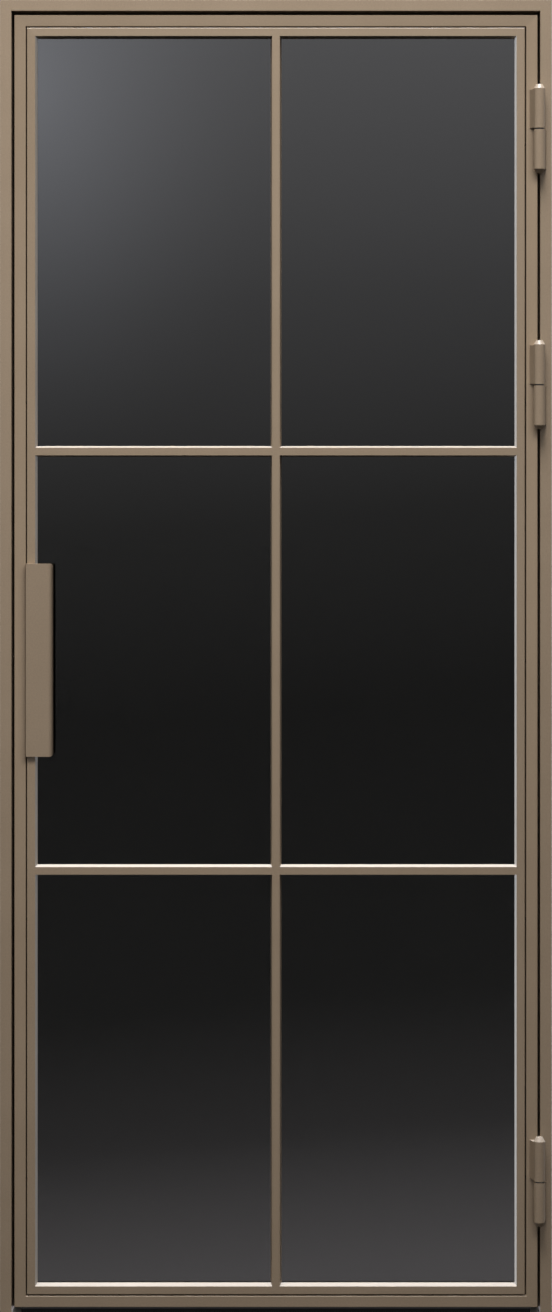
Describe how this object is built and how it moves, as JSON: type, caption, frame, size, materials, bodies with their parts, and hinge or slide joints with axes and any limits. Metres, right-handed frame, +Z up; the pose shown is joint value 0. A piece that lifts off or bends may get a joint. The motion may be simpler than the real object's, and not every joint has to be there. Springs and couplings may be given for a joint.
{
  "type": "glass door with frame",
  "caption": "Hinged glass door with a slim steel look: dark pane with bevelled bars in a mitred leaf, lift-off hinges, plate pull handles and a tube frame with stop bars, without threshold.",
  "frame": {"origin": "on the floor line, at the middle of the leaf's width and of its thickness", "axes": "+X from the latch side to the hinge side, +Y from the opening side through the door to the stop side, +Z up"},
  "size_m": [0.871, 0.087, 2.074],
  "materials": {
    "taupe_powder_coat": "satin fine-texture powder coat, taupe bronze",
    "smoked_glass": "very dark grey laminated glass, polished",
    "black_rubber": "matt extruded rubber",
    "glazing_tape": "matt black foam tape",
    "black_plastic": "matt plastic",
    "zinc_steel": "zinc-plated steel",
    "nickel_magnet": "nickel-plated"
  },
  "bodies": {
    "frame": {"bottom_hinge_frame_half": "taupe_powder_coat", "bottom_hinge_pin": "zinc_steel", "bottom_hinge_washer": "black_plastic", "catch_magnet": "nickel_magnet", "frame_head": "taupe_powder_coat", "head_stop": "taupe_powder_coat", "hinge_jamb": "taupe_powder_coat", "hinge_seal": "black_rubber", "hinge_stop": "taupe_powder_coat", "latch_jamb": "taupe_powder_coat", "latch_seal": "black_rubber", "latch_stop": "taupe_powder_coat", "middle_hinge_frame_half": "taupe_powder_coat", "middle_hinge_pin": "zinc_steel", "middle_hinge_washer": "black_plastic", "top_hinge_frame_half": "taupe_powder_coat", "top_hinge_pin": "zinc_steel", "top_hinge_washer": "black_plastic", "top_seal": "black_rubber"},
    "leaf": {"back_glazing_tape": "glazing_tape", "back_handle": "taupe_powder_coat", "back_lower_hinge_bar": "taupe_powder_coat", "back_lower_latch_bar": "taupe_powder_coat", "back_upper_hinge_bar": "taupe_powder_coat", "back_upper_latch_bar": "taupe_powder_coat", "back_upright_bar": "taupe_powder_coat", "bead_clip_studs": "zinc_steel", "bottom_bead": "taupe_powder_coat", "bottom_hinge_leaf_half": "taupe_powder_coat", "bottom_rail": "taupe_powder_coat", "floor_seal": "black_rubber", "floor_seal_carrier": "black_plastic", "front_glazing_tape": "glazing_tape", "front_handle": "taupe_powder_coat", "front_lower_hinge_bar": "taupe_powder_coat", "front_lower_latch_bar": "taupe_powder_coat", "front_upper_hinge_bar": "taupe_powder_coat", "front_upper_latch_bar": "taupe_powder_coat", "front_upright_bar": "taupe_powder_coat", "glass_pane": "smoked_glass", "handle_studs": "zinc_steel", "hinge_bead": "taupe_powder_coat", "hinge_stile": "taupe_powder_coat", "latch_bead": "taupe_powder_coat", "latch_stile": "taupe_powder_coat", "middle_hinge_leaf_half": "taupe_powder_coat", "setting_blocks": "black_plastic", "top_bead": "taupe_powder_coat", "top_hinge_leaf_half": "taupe_powder_coat", "top_rail": "taupe_powder_coat"}
  },
  "joints": [
    {"name": "leaf_swing", "type": "hinge", "parent": "frame", "child": "leaf", "pos_m": [0.415, -0.0345, 0.212], "axis": [0, 0, 1], "range_deg": [0, 170]}
  ]
}
